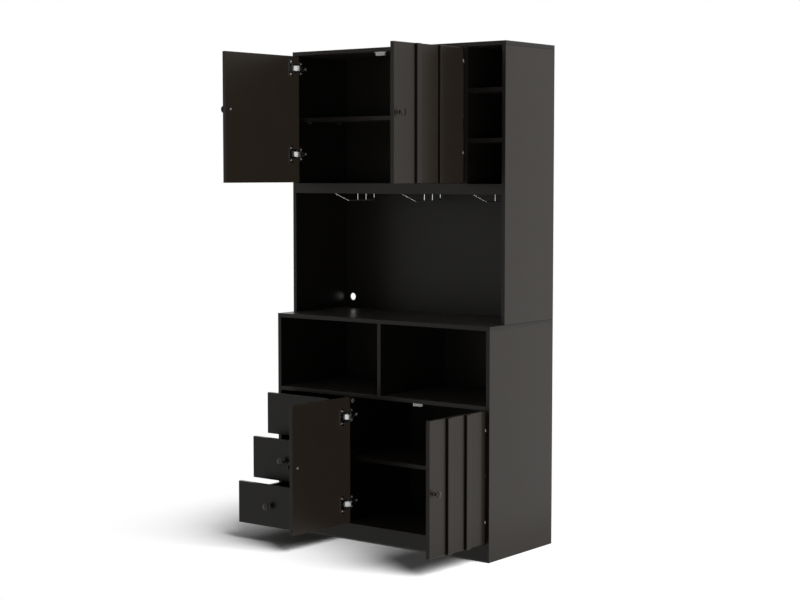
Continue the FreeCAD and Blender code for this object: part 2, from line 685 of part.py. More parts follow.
def all_nodes():
    """Every node of the cabinet by name."""
    nodes = {
        "base_left_side": base_side(-1),
        "base_right_side": base_side(1),
        "base_top": seamed(board(-HALF, HALF, BASE_FRONT, REAR, BASE_TOP_LOW, BASE_HEIGHT), BASE_HEIGHT),
        "cubby_floor": board(-INNER, INNER, BASE_FRONT, BACK_FACE, LOWER_TOP, CUBBY_FLOOR),
        "cubby_divider": cubby_divider(),
        "base_divider": base_divider(),
        "base_bottom": box(-INNER, INNER, BASE_FRONT + BOARD, BACK_FACE, PLINTH_TOP - BOARD, PLINTH_TOP),
        "plinth_rails": plinth_rails(),
        "base_back": back_panel(PLINTH_TOP - BOARD, BASE_TOP_LOW),
        "base_shelf": loose_shelf(DIVIDER_RIGHT, INNER, BASE_SHELF_FRONT, BASE_SHELF_LOW),
        "hutch_left_side": hutch_side(-1),
        "hutch_right_side": hutch_side(1),
        "hutch_top": seamed(board(-HALF, HALF, HUTCH_FRONT, REAR, HUTCH_TOP_LOW, HEIGHT), HUTCH_TOP_LOW),
        "hutch_floor": box(-INNER, INNER, HUTCH_FRONT + BOARD, BACK_FACE, HUTCH_FLOOR_LOW, HUTCH_FLOOR),
        "hutch_rail": board(-INNER, INNER, HUTCH_FRONT, HUTCH_FRONT + BOARD, RAIL_LOW, HUTCH_FLOOR),
        "hutch_partition": hutch_partition(),
        "column_shelves": column_shelves(),
        "hutch_shelf": loose_shelf(-INNER, PARTITION_LEFT, HUTCH_SHELF_FRONT, HUTCH_SHELF_LOW),
        "hutch_back": hutch_back(),
        "glass_hangers": Part.makeCompound([glass_hanger(step * HANGER_PITCH) for step in (-1, 0, 1)]),
        "shelf_pins": shelf_pins(),
        "cam_caps": cam_caps(),
        "catches": catches(),
        "runner_rails": runner_rails(),
        "hinge_arms": Part.makeCompound([arm for door in DOORS for arm in door.arms()]),
    }
    for door in DOORS:
        nodes[f"{door.name}_door"] = door.panel()
        nodes[f"{door.name}_battens"] = door.battens()
        nodes[f"{door.name}_knob"] = door.knob()
        nodes[f"{door.name}_irons"] = door.irons()
        nodes[f"{door.name}_links"] = door.links()
    for drawer in DRAWERS:
        nodes[f"{drawer.name}_front"] = drawer.front()
        nodes[f"{drawer.name}_walls"] = drawer.walls()
        nodes[f"{drawer.name}_bottom"] = drawer.bottom()
        nodes[f"{drawer.name}_knob"] = drawer.knob()
        nodes[f"{drawer.name}_rails"] = drawer.rails()
    return nodes


os.makedirs("parts", exist_ok=True)
for node_name, node_shape in all_nodes().items():
    node_shape.exportStep(f"parts/{node_name}.step")
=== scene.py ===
"""Looks of a black buffet cabinet: finishes, small fittings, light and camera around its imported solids."""
import json
import logging
import math
from dataclasses import dataclass
from enum import Enum

import bpy
import numpy as np
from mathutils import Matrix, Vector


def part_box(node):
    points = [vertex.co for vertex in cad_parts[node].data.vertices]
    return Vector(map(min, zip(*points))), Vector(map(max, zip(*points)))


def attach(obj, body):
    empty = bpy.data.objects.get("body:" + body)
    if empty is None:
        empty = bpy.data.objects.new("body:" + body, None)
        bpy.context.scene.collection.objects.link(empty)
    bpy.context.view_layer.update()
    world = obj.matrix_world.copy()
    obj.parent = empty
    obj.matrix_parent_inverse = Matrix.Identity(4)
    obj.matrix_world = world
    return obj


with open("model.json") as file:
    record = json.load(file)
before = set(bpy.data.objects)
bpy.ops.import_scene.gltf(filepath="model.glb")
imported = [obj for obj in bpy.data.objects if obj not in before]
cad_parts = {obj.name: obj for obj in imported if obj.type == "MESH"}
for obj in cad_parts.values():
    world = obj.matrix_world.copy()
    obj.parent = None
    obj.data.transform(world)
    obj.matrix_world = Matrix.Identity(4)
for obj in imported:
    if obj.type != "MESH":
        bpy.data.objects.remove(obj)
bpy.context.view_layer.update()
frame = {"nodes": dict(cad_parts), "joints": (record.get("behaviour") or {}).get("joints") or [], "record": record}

LOG = logging.getLogger("buffet_cabinet")
MM = 0.001
UP = np.array([0.0, 0.0, 1.0])

Shape = tuple[np.ndarray, np.ndarray]
Socket = bpy.types.NodeSocket
Tree = bpy.types.NodeTree


class Mark(Enum):
    """What is pressed into the head of a small round fitting."""

    CROSS = "cross"
    SLOT = "slot"
    PLAIN = "plain"


class Slot(Enum):
    """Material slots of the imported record."""

    BOARD = "black_board"
    BACK = "black_back"
    KNOB = "knob_metal"
    HINGE = "hinge_steel"
    HANGER = "hanger_chrome"
    ZINC = "zinc"
    CAP = "cap_plastic"
    CATCH = "catch_plastic"


class Lights(Enum):
    """How a lamp treats the surfaces that it names."""

    ONLY = "INCLUDE"
    ALL_BUT = "EXCLUDE"


# Node helpers


def node(tree: Tree, kind: str, **settings: object) -> bpy.types.Node:
    """Adds a node.

    Args:
        tree: Tree that gets the node.
        kind: Blender's node type.
        settings: Properties of the node.

    Returns:
        The new node.
    """
    made = tree.nodes.new(kind)
    for name, value in settings.items():
        setattr(made, name, value)
    return made


def feed(tree: Tree, target: Socket, value: object) -> None:
    """Links a socket to an input, or sets the input's own value.

    Args:
        tree: Tree that holds both.
        target: Input socket.
        value: Output socket, number or sequence of numbers.
    """
    if isinstance(value, Socket):
        tree.links.new(value, target)
    else:
        target.default_value = value


def combine(tree: Tree, how: str, first: object, second: object = 0.0) -> Socket:
    """Adds a Math node.

    Args:
        tree: Tree that gets the node.
        how: Blender's name of the operation.
        first: First value or socket.
        second: Second value or socket.

    Returns:
        The result's socket.
    """
    made = node(tree, "ShaderNodeMath", operation=how)
    feed(tree, made.inputs[0], first)
    feed(tree, made.inputs[1], second)
    return made.outputs[0]


def spread(tree: Tree, value: object, old: tuple[float, float], new: tuple[object, object]) -> Socket:
    """Adds a clamped Map Range node.

    Args:
        tree: Tree that gets the node.
        value: Value or socket to map.
        old: Range that is read.
        new: Range that comes out; its ends may be sockets.

    Returns:
        The result's socket.
    """
    made = node(tree, "ShaderNodeMapRange", interpolation_type="SMOOTHSTEP")
    feed(tree, made.inputs["Value"], value)
    made.inputs["From Min"].default_value = old[0]
    made.inputs["From Max"].default_value = old[1]
    feed(tree, made.inputs["To Min"], new[0])
    feed(tree, made.inputs["To Max"], new[1])
    return made.outputs["Result"]


def vary(tree: Tree, value: Socket, reach: object) -> Socket:
    """Moves a noise of 0 to 1 about zero: half less, times a reach.

    Args:
        tree: Tree that gets the nodes.
        value: Socket of the noise.
        reach: Reach of the variation.

    Returns:
        The result's socket.
    """
    return combine(tree, "MULTIPLY", combine(tree, "SUBTRACT", value, 0.5), reach)


def blend(tree: Tree, share: object, first: object, second: object, how: str = "MIX") -> Socket:
    """Adds a colour Mix node.

    Args:
        tree: Tree that gets the node.
        share: Share of the second colour.
        first: First colour or socket.
        second: Second colour or socket.
        how: Blender's name of the blend.

    Returns:
        The result's socket.
    """
    made = node(tree, "ShaderNodeMix", data_type="RGBA", blend_type=how)
    feed(tree, made.inputs["Factor"], share)
    feed(tree, made.inputs["A"], first)
    feed(tree, made.inputs["B"], second)
    return made.outputs["Result"]


def noise(tree: Tree, place: Socket, scale: object, detail: float = 2.0, rough: float = 0.5) -> Socket:
    """Adds a Noise Texture.

    Args:
        tree: Tree that gets the node.
        place: Socket of the coordinates.
        scale: Scale value or socket.
        detail: Number of finer layers.
        rough: Strength of the finer layers.

    Returns:
        The socket of the noise's value.
    """
    made = node(tree, "ShaderNodeTexNoise")
    feed(tree, made.inputs["Vector"], place)
    feed(tree, made.inputs["Scale"], scale)
    made.inputs["Detail"].default_value = detail
    made.inputs["Roughness"].default_value = rough
    return made.outputs[0]


def grey(tree: Tree, level: Socket) -> Socket:
    """Adds a colour with one level in all three channels.

    Args:
        tree: Tree that gets the node.
        level: Socket of the level.

    Returns:
        The colour's socket.
    """
    made = node(tree, "ShaderNodeCombineColor")
    for channel in range(3):
        feed(tree, made.inputs[channel], level)
    return made.outputs[0]


def object_place(tree: Tree) -> Socket:
    """Socket of the object's own coordinates."""
    return node(tree, "ShaderNodeTexCoord").outputs["Object"]


# Effects that several finishes share


class Effect:
    """A shader node group with named inputs and outputs."""

    def __init__(self, name: str, ins: dict[str, object], outs: dict[str, str]) -> None:
        """Starts the group.

        Args:
            name: Name of the group.
            ins: Inputs by name, a number for a value and a colour of four numbers otherwise.
            outs: Outputs by name with their socket types.
        """
        self.tree = bpy.data.node_groups.new(name, "ShaderNodeTree")
        for label, start in ins.items():
            kind = "NodeSocketFloat" if isinstance(start, float) else "NodeSocketColor"
            made = self.tree.interface.new_socket(name=label, in_out="INPUT", socket_type=kind)
            made.default_value = start
        for label, kind in outs.items():
            self.tree.interface.new_socket(name=label, in_out="OUTPUT", socket_type=kind)
        self.ins = node(self.tree, "NodeGroupInput").outputs
        self.outs = node(self.tree, "NodeGroupOutput").inputs
        self.wire()

    def wire(self) -> None:
        """Joins the inputs to the outputs; each effect has its own way."""
        raise NotImplementedError

    def give(self, label: str, value: Socket) -> None:
        """Links a socket to one of the outputs."""
        self.tree.links.new(value, self.outs[label])

    def put_in(self, tree: Tree, **values: object) -> bpy.types.Node:
        """Puts the effect into a material.

        Args:
            tree: The material's tree.
            values: Inputs by name.

        Returns:
            The group's node.
        """
        made = node(tree, "ShaderNodeGroup", node_tree=self.tree)
        for name, value in values.items():
            feed(tree, made.inputs[name], value)
        return made


class PressedSkin(Effect):
    """Pressed skin of a coated board or a moulding: pearl, faint clouds and rubbed patches."""

    CLOUD_SCALE = 5.0
    PATCH_SCALE = 9.0
    PEARL_REACH = 0.35

    def __init__(self) -> None:
        """Names the inputs and outputs."""
        ins = {"Tone": (0.02, 0.02, 0.02, 1.0), "Pearl": 900.0, "Cloud": 0.2, "Roughness": 0.4, "Rub": 0.06}
        outs = {"Color": "NodeSocketColor", "Roughness": "NodeSocketFloat", "Height": "NodeSocketFloat"}
        super().__init__("pressed_skin", ins, outs)

    def wire(self) -> None:
        """Slow and fine noise vary the tone, hand-wide patches the roughness; fine noise is the height."""
        tree = self.tree
        place = object_place(tree)
        pearl = noise(tree, place, self.ins["Pearl"], detail=3.0, rough=0.6)
        clouds = vary(tree, noise(tree, place, self.CLOUD_SCALE, detail=4.0, rough=0.55), self.ins["Cloud"])
        level = combine(tree, "ADD", combine(tree, "ADD", clouds, vary(tree, pearl, self.PEARL_REACH)), 1.0)
        self.give("Color", blend(tree, 1.0, self.ins["Tone"], grey(tree, level), "MULTIPLY"))
        reach = combine(tree, "MULTIPLY", self.ins["Rub"], 2.0)
        patch = vary(tree, noise(tree, place, self.PATCH_SCALE, detail=5.0, rough=0.6), reach)
        self.give("Roughness", combine(tree, "ADD", self.ins["Roughness"], patch))
        self.give("Height", pearl)


class SettledDust(Effect):
    """Thin dust on faces that look up."""

    NOISE_SCALE = 40.0
    UPWARD = (0.6, 0.98)
    GAPS = (0.35, 0.75)
    THINNEST = 0.2

    def __init__(self) -> None:
        """Names the inputs and outputs."""
        ins = {"Color": (0.02, 0.02, 0.02, 1.0), "Dust": (0.2, 0.19, 0.18, 1.0), "Amount": 0.04}
        super().__init__("settled_dust", ins, {"Color": "NodeSocketColor"})

    def wire(self) -> None:
        """The mask is the upward part of the normal, sharpened and broken up by noise."""
        tree = self.tree
        up = node(tree, "ShaderNodeSeparateXYZ")
        feed(tree, up.inputs[0], node(tree, "ShaderNodeNewGeometry").outputs["Normal"])
        flat = spread(tree, up.outputs["Z"], self.UPWARD, (0.0, 1.0))
        grain = noise(tree, object_place(tree), self.NOISE_SCALE, detail=5.0, rough=0.7)
        broken = spread(tree, grain, self.GAPS, (self.THINNEST, 1.0))
        mask = combine(tree, "MULTIPLY", combine(tree, "MULTIPLY", flat, broken), self.ins["Amount"])
        self.give("Color", blend(tree, mask, self.ins["Color"], self.ins["Dust"]))


class RubbedAndHighlitEdge(Effect):
    """Lighter line along an edge: the finish rubbed there, plus a painted highlight where the rounded edge would
    catch the light.
    """

    NOISE_SCALE = 55.0
    SAMPLES = 4
    TURNED = (0.995, 0.8)
    GAPS = (0.38, 0.68)
    THINNEST = 0.25

    def __init__(self) -> None:
        """Names the inputs and outputs."""
        ins = {"Color": (0.02, 0.02, 0.02, 1.0), "Worn": (0.1, 0.1, 0.1, 1.0), "Reach": 0.002, "Amount": 0.4}
        super().__init__("rubbed_and_highlit_edge", ins, {"Color": "NodeSocketColor"})

    def wire(self) -> None:
        """The mask grows where the normal averaged over the reach leaves the face's own; noise breaks it."""
        tree = self.tree
        soft = node(tree, "ShaderNodeBevel", samples=self.SAMPLES)
        feed(tree, soft.inputs["Radius"], self.ins["Reach"])
        dot = node(tree, "ShaderNodeVectorMath", operation="DOT_PRODUCT")
        feed(tree, dot.inputs[0], soft.outputs[0])
        feed(tree, dot.inputs[1], node(tree, "ShaderNodeNewGeometry").outputs["True Normal"])
        edge = spread(tree, dot.outputs["Value"], self.TURNED, (0.0, 1.0))
        grain = noise(tree, object_place(tree), self.NOISE_SCALE, detail=4.0, rough=0.65)
        broken = spread(tree, grain, self.GAPS, (self.THINNEST, 1.0))
        mask = combine(tree, "MULTIPLY", combine(tree, "MULTIPLY", edge, broken), self.ins["Amount"])
        self.give("Color", blend(tree, mask, self.ins["Color"], self.ins["Worn"]))


class DrawnMetal(Effect):
    """Plated or drawn metal: fine streaks along the height and cloudy tarnish."""

    STREAK_SCALE = 2600.0
    STREAK_STRETCH = (1.0, 1.0, 0.06)
    TARNISH_SCALE = 160.0
    TARNISHED = (0.35, 0.8)
    TARNISH_TONE = (0.16, 0.15, 0.14, 1.0)
    TARNISH_DULLS = 0.3

    def __init__(self) -> None:
        """Names the inputs and outputs."""
        ins = {"Tone": (0.7, 0.7, 0.7, 1.0), "Tarnish": 0.2, "Roughness": 0.25, "Streak": 0.1}
        outs = {"Color": "NodeSocketColor", "Roughness": "NodeSocketFloat", "Height": "NodeSocketFloat"}
        super().__init__("drawn_metal", ins, outs)

    def wire(self) -> None:
        """Streaks are noise stretched along Z; tarnish darkens the tone and dulls the gloss by slow noise."""
        tree = self.tree
        place = object_place(tree)
        stretch = node(tree, "ShaderNodeMapping")
        feed(tree, stretch.inputs["Vector"], place)
        stretch.inputs["Scale"].default_value = self.STREAK_STRETCH
        streaks = noise(tree, stretch.outputs[0], self.STREAK_SCALE)
        clouds = noise(tree, place, self.TARNISH_SCALE, detail=4.0, rough=0.6)
        dark = spread(tree, clouds, self.TARNISHED, (0.0, self.ins["Tarnish"]))
        self.give("Color", blend(tree, dark, self.ins["Tone"], self.TARNISH_TONE))
        dulled = combine(tree, "MULTIPLY", dark, self.TARNISH_DULLS)
        change = combine(tree, "ADD", vary(tree, streaks, self.ins["Streak"]), dulled)
        self.give("Roughness", combine(tree, "ADD", self.ins["Roughness"], change))
        self.give("Height", streaks)


class Effects:
    """Holds each shared effect, made once."""

    def __init__(self) -> None:
        """Builds the effects."""
        self.skin = PressedSkin()
        self.dust = SettledDust()
        self.edge = RubbedAndHighlitEdge()
        self.metal = DrawnMetal()


# Finishes


@dataclass
class Coat:
    """A material under construction: its tree and its Principled shader."""

    name: str

    def __post_init__(self) -> None:
        """Makes the material."""
        self.material = bpy.data.materials.new(self.name)
        self.material.use_nodes = True
        self.tree = self.material.node_tree
        self.shader = self.tree.nodes["Principled BSDF"]

    def feed(self, label: str, value: object) -> None:
        """Links or sets one of the shader's inputs."""
        feed(self.tree, self.shader.inputs[label], value)

    def relief(self, height: Socket, depth: float, strength: float) -> None:
        """Feeds a height through a Bump node to the shader's normal.

        Args:
            height: Socket of the height, 0 to 1.
            depth: Depth of the relief in millimetres.
            strength: Strength of the bump.
        """
        bump = node(self.tree, "ShaderNodeBump")
        bump.inputs["Strength"].default_value = strength
        bump.inputs["Distance"].default_value = depth * MM
        feed(self.tree, bump.inputs["Height"], height)
        self.feed("Normal", bump.outputs[0])


@dataclass(frozen=True)
class SkinFinish:
    """Coated board or moulded plastic."""

    name: str
    tone: tuple[float, float, float]
    edge_worn_and_lit: tuple[float, float, float]
    roughness: float
    specular: float
    pearl: float
    cloud: float
    rub: float
    relief: float
    dust: float
    edge: float
    bump: float = 0.35

    def material(self, effects: Effects) -> bpy.types.Material:
        """Builds the finish.

        Args:
            effects: Shared effects.

        Returns:
            The material.
        """
        coat = Coat(self.name)
        skin = effects.skin.put_in(coat.tree, Tone=(*self.tone, 1.0), Pearl=self.pearl, Cloud=self.cloud,
                                   Roughness=self.roughness, Rub=self.rub)
        # Lighter edges: rubbed wear plus a painted highlight along them.
        edge = effects.edge.put_in(coat.tree, Color=skin.outputs["Color"], Worn=(*self.edge_worn_and_lit, 1.0),
                                   Amount=self.edge)
        dust = effects.dust.put_in(coat.tree, Color=edge.outputs["Color"], Amount=self.dust)
        coat.feed("Base Color", dust.outputs["Color"])
        coat.feed("Roughness", skin.outputs["Roughness"])
        coat.feed("Specular IOR Level", self.specular)
        coat.relief(skin.outputs["Height"], self.relief, self.bump)
        return coat.material


@dataclass(frozen=True)
class MetalFinish:
    """Bare, plated or lacquered metal."""

    name: str
    tone: tuple[float, float, float]
    edge_worn_and_lit: tuple[float, float, float]
    roughness: float
    tarnish: float
    streak: float
    edge: float = 0.5
    edge_reach: float = 0.0005
    metallic: float = 1.0
    relief: float = 0.02
    bump: float = 0.2

    def material(self, effects: Effects) -> bpy.types.Material:
        """Builds the finish.

        Args:
            effects: Shared effects.

        Returns:
            The material.
        """
        coat = Coat(self.name)
        metal = effects.metal.put_in(coat.tree, Tone=(*self.tone, 1.0), Tarnish=self.tarnish,
                                     Roughness=self.roughness, Streak=self.streak)
        # Lighter edges: rubbed wear plus a painted highlight along them.
        edge = effects.edge.put_in(coat.tree, Color=metal.outputs["Color"], Worn=(*self.edge_worn_and_lit, 1.0),
                                   Reach=self.edge_reach, Amount=self.edge)
        coat.feed("Metallic", self.metallic)
        coat.feed("Base Color", edge.outputs["Color"])
        coat.feed("Roughness", metal.outputs["Roughness"])
        coat.relief(metal.outputs["Height"], self.relief, self.bump)
        return coat.material


# Edge tone of the black boards: rubbed wear plus a painted highlight along the edges.
WORN_AND_LIT_BLACK = (0.075, 0.072, 0.068)
FINISHES = {
    Slot.BOARD: SkinFinish(
        "black_board", tone=(0.021, 0.018, 0.015), edge_worn_and_lit=WORN_AND_LIT_BLACK, roughness=0.32, specular=0.18,
        pearl=1100.0, cloud=0.18, rub=0.05, relief=0.03, dust=0.012, edge=0.5),
    Slot.BACK: SkinFinish(
        "black_back", tone=(0.019, 0.0165, 0.014), edge_worn_and_lit=WORN_AND_LIT_BLACK, roughness=0.36, specular=0.18,
        pearl=700.0, cloud=0.22, rub=0.06, relief=0.05, dust=0.012, edge=0.2),
    Slot.KNOB: MetalFinish(
        "knob_metal", tone=(0.026, 0.025, 0.024), edge_worn_and_lit=(0.2, 0.2, 0.2), roughness=0.14, tarnish=0.08,
        streak=0.05),
    Slot.HINGE: MetalFinish(
        "hinge_steel", tone=(0.47, 0.47, 0.46), edge_worn_and_lit=(0.85, 0.85, 0.85), roughness=0.24, tarnish=0.3,
        streak=0.08),
    Slot.HANGER: MetalFinish(
        "hanger_chrome", tone=(0.74, 0.74, 0.74), edge_worn_and_lit=(0.85, 0.85, 0.85), roughness=0.22, tarnish=0.12,
        streak=0.06, edge=0.3),
    Slot.ZINC: MetalFinish(
        "zinc", tone=(0.56, 0.57, 0.58), edge_worn_and_lit=(0.75, 0.75, 0.75), roughness=0.32, tarnish=0.3, streak=0.12),
    Slot.CAP: SkinFinish(
        "cap_plastic", tone=(0.8, 0.8, 0.8), edge_worn_and_lit=(0.85, 0.85, 0.85), roughness=0.42, specular=0.5,
        pearl=2400.0, cloud=0.12, rub=0.05, relief=0.05, dust=0.05, edge=0.3),
    Slot.CATCH: SkinFinish(
        "catch_plastic", tone=(0.93, 0.93, 0.92), edge_worn_and_lit=(0.96, 0.96, 0.96), roughness=0.4, specular=0.5,
        pearl=2400.0, cloud=0.1, rub=0.05, relief=0.05, dust=0.04, edge=0.3),
}
POLE_STEEL = MetalFinish(
    "pole_steel", tone=(0.3, 0.3, 0.31), edge_worn_and_lit=(0.6, 0.6, 0.6), roughness=0.38, tarnish=0.35, streak=0.1)


class Palette:
    """Every material of the cabinet, by slot."""

    def __init__(self) -> None:
        """Builds the materials."""
        effects = Effects()
        self.by_slot = {slot: finish.material(effects) for slot, finish in FINISHES.items()}
        self.pole = POLE_STEEL.material(effects)
        self.slots = {row["node"]: Slot(row["material_slot"]) for row in frame["record"]["subparts"]}

    def dress(self, name: str) -> None:
        """Gives a solid the finish of its slot in the record.

        Args:
            name: Name of the solid's node.
        """
        solid = frame["nodes"][name]
        solid.data.materials.clear()
        solid.data.materials.append(self.by_slot[self.slots[name]])
        LOG.info("solid %s in %s", name, self.slots[name].value)


# Surfaces worked out as arrays


def add_mesh(name: str, points: np.ndarray, quads: np.ndarray) -> bpy.types.Object:
    """Makes an object from arrays of points and quads.

    Args:
        name: Name of the piece.
        points: Points in metres, one row each.
        quads: Indices of four points, one row each; equal neighbours make a triangle.

    Returns:
        The new object, at the origin.
    """
    mesh = bpy.data.meshes.new(name)
    mesh.from_pydata(points.tolist(), [], [tuple(dict.fromkeys(row)) for row in quads.tolist()])
    mesh.update()
    mesh.polygons.foreach_set("use_smooth", np.ones(len(mesh.polygons), bool))
    made = bpy.data.objects.new(name, mesh)
    bpy.context.scene.collection.objects.link(made)
    return made


def closed_shell(grid: np.ndarray) -> Shape:
    """Closed surface from rings of points whose first and last ring are single poles.

    Args:
        grid: Points by ring and place around, running from the top pole outwards and down to the bottom pole.

    Returns:
        Points with each pole once, and quads that face outwards.
    """
    rings, around, _ = grid.shape
    points = np.concatenate([grid[0, :1], grid[1:-1].reshape(-1, 3), grid[-1, :1]])
    i, j = np.meshgrid(np.arange(rings), np.arange(around), indexing="ij")
    index = np.clip(1 + (i - 1) * around + j, 0, None)
    index[0] = 0
    index[-1] = len(points) - 1
    beside = np.roll(index, -1, axis=1)
    return points, np.stack([index[:-1], index[1:], beside[1:], beside[:-1]], -1).reshape(-1, 4)


def joined(parts: list[Shape]) -> Shape:
    """Several shapes as one.

    Args:
        parts: Points and quads of each.

    Returns:
        All points and all quads.
    """
    starts = np.cumsum([0] + [len(points) for points, _ in parts[:-1]])
    quads = [rows + start for (_, rows), start in zip(parts, starts)]
    return np.concatenate([points for points, _ in parts]), np.concatenate(quads)


@dataclass(frozen=True)
class RoundHead:
    """Small round fitting, such as a screw's head, a rivet or a cap."""

    radius: float
    height: float
    mark: Mark = Mark.CROSS
    sunk: float = 0.15
    rings: int = 9
    around: int = 24
    dome_fall: float = 0.9
    bar_wide: float = 0.17
    bar_long: float = 0.62
    bar_deep: float = 0.55

    def shape(self) -> Shape:
        """Dome over a disc with the mark pressed into it.

        The height is the root of one less a share of the radius's fourth power, less the mark's depth.

        Returns:
            Points in millimetres with the axis along +Z, closed below the seat, and quads.
        """
        share = np.linspace(0.0, 1.0, self.rings)[:, None]
        angle = np.linspace(0.0, 2 * np.pi, self.around, endpoint=False)[None, :]
        x = self.radius * share * np.cos(angle)
        y = self.radius * share * np.sin(angle)
        dome = self.height * np.sqrt(1.0 - self.dome_fall * share ** 4) + 0.0 * angle - self.recess(x, y)
        rim = np.full((1, self.around), -self.sunk)
        zero = np.zeros((1, self.around))
        grid = np.stack([np.concatenate([x, x[-1:], zero]), np.concatenate([y, y[-1:], zero]),
                         np.concatenate([dome, rim, rim])], -1)
        return closed_shell(grid)

    def recess(self, x: np.ndarray, y: np.ndarray) -> np.ndarray:
        """Depth of the mark: bars whose width and length are shares of the radius.

        Args:
            x: Places across.
            y: Places along.

        Returns:
            The depth at each place.
        """
        wide = self.bar_wide * self.radius
        long = self.bar_long * self.radius
        along = (np.abs(x) < wide) & (np.abs(y) < long)
        across = (np.abs(y) < wide) & (np.abs(x) < long)
        pressed = {Mark.CROSS: along | across, Mark.SLOT: along, Mark.PLAIN: np.zeros_like(along)}[self.mark]
        return np.where(pressed, self.bar_deep * self.height, 0.0)

    def copies(self, seats: list[tuple[float, float, float]], axis: np.ndarray) -> Shape:
        """The head repeated at several seats.

        Args:
            seats: Middles of the seats in millimetres.
            axis: Unit direction in which the heads stand out.

        Returns:
            Points in millimetres and quads of all copies.
        """
        side = np.cross(axis, UP if abs(axis[2]) < 0.9 else np.array([1.0, 0.0, 0.0]))
        side = side / np.linalg.norm(side)
        points, quads = self.shape()
        one = points @ np.stack([side, np.cross(axis, side), axis])
        every = (np.array(seats)[:, None, :] + one[None, :, :]).reshape(-1, 3)
        steps = np.arange(len(seats))[:, None, None] * len(one)
        return every, (quads[None] + steps).reshape(-1, 4)


@dataclass(frozen=True)
class RoundedBlock:
    """Block with rounded corners between two corners in millimetres."""

    low: tuple[float, float, float]
    high: tuple[float, float, float]
    corner: float
    rows: int = 12
    around: int = 24

    def shape(self) -> Shape:
        """A ball whose points are pushed apart, each to its own side, by the block's inner half sizes.

        Returns:
            Points in millimetres and quads.
        """
        tilt = np.linspace(np.pi / 2, -np.pi / 2, self.rows)[:, None]
        turn = (np.arange(self.around) + 0.5)[None, :] * 2 * np.pi / self.around
        flat = np.cos(tilt)
        ball = np.stack([flat * np.cos(turn), flat * np.sin(turn), np.sin(tilt) + 0.0 * turn], -1)
        low = np.array(self.low)
        high = np.array(self.high)
        half = (high - low) / 2 - self.corner
        return closed_shell((low + high) / 2 + ball * self.corner + np.sign(ball.round(9)) * half)


def fit_piece(name: str, shape: Shape, body: str, finish: bpy.types.Material) -> None:
    """Puts a new piece on a body with its finish.

    Args:
        name: Name of the piece.
        shape: Points in millimetres and quads.
        body: Body that it rides on.
        finish: Its material.
    """
    points, quads = shape
    made = add_mesh(name, points * MM, quads)
    made.data.materials.append(finish)
    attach(made, body)
    LOG.info("piece %s on %s", name, body)


def box_mm(name: str) -> tuple[np.ndarray, np.ndarray]:
    """Lowest and highest corner of a solid in millimetres."""
    low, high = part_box(name)
    return np.array(low) / MM, np.array(high) / MM


# Sub-assemblies


@dataclass(frozen=True)
class BaseUnit:
    """Base with its cubbies, drawer bay and door compartment."""

    palette: Palette
    cap_radius: float = 7.5
    cross_radius: float = 6.6
    cross_height: float = 0.6
    solids: tuple[str, ...] = ("base_left_side", "base_right_side", "base_top", "base_bottom", "base_divider",
                               "base_back", "base_shelf", "cubby_floor", "cubby_divider", "plinth_rails",
                               "cam_caps", "runner_rails")

    def build(self) -> None:
        """Dresses the base and adds what its fittings need."""
        for name in self.solids:
            self.palette.dress(name)
        self.cap_crosses()

    def cap_crosses(self) -> None:
        """Pressed crosses in the cover caps of the cam fasteners: shallow domes with a cross."""
        low, high = box_mm("cam_caps")
        middle = (low[2] + high[2]) / 2
        seats = [(high[0], y, middle) for y in (low[1] + self.cap_radius, high[1] - self.cap_radius)]
        head = RoundHead(self.cross_radius, self.cross_height)
        crosses = head.copies(seats, np.array([1.0, 0.0, 0.0]))
        fit_piece("cam_cap_crosses", crosses, "cabinet", self.palette.by_slot[Slot.CAP])


@dataclass(frozen=True)
class Hutch:
    """Hutch with its niche, door compartment, open column and glass hangers."""

    palette: Palette
    solids: tuple[str, ...] = ("hutch_left_side", "hutch_right_side", "hutch_top", "hutch_floor",
                               "hutch_rail", "hutch_partition", "column_shelves", "hutch_shelf",
                               "hutch_back", "glass_hangers", "shelf_pins", "catches", "hinge_arms")

    def build(self) -> None:
        """Dresses the hutch."""
        for name in self.solids:
            self.palette.dress(name)


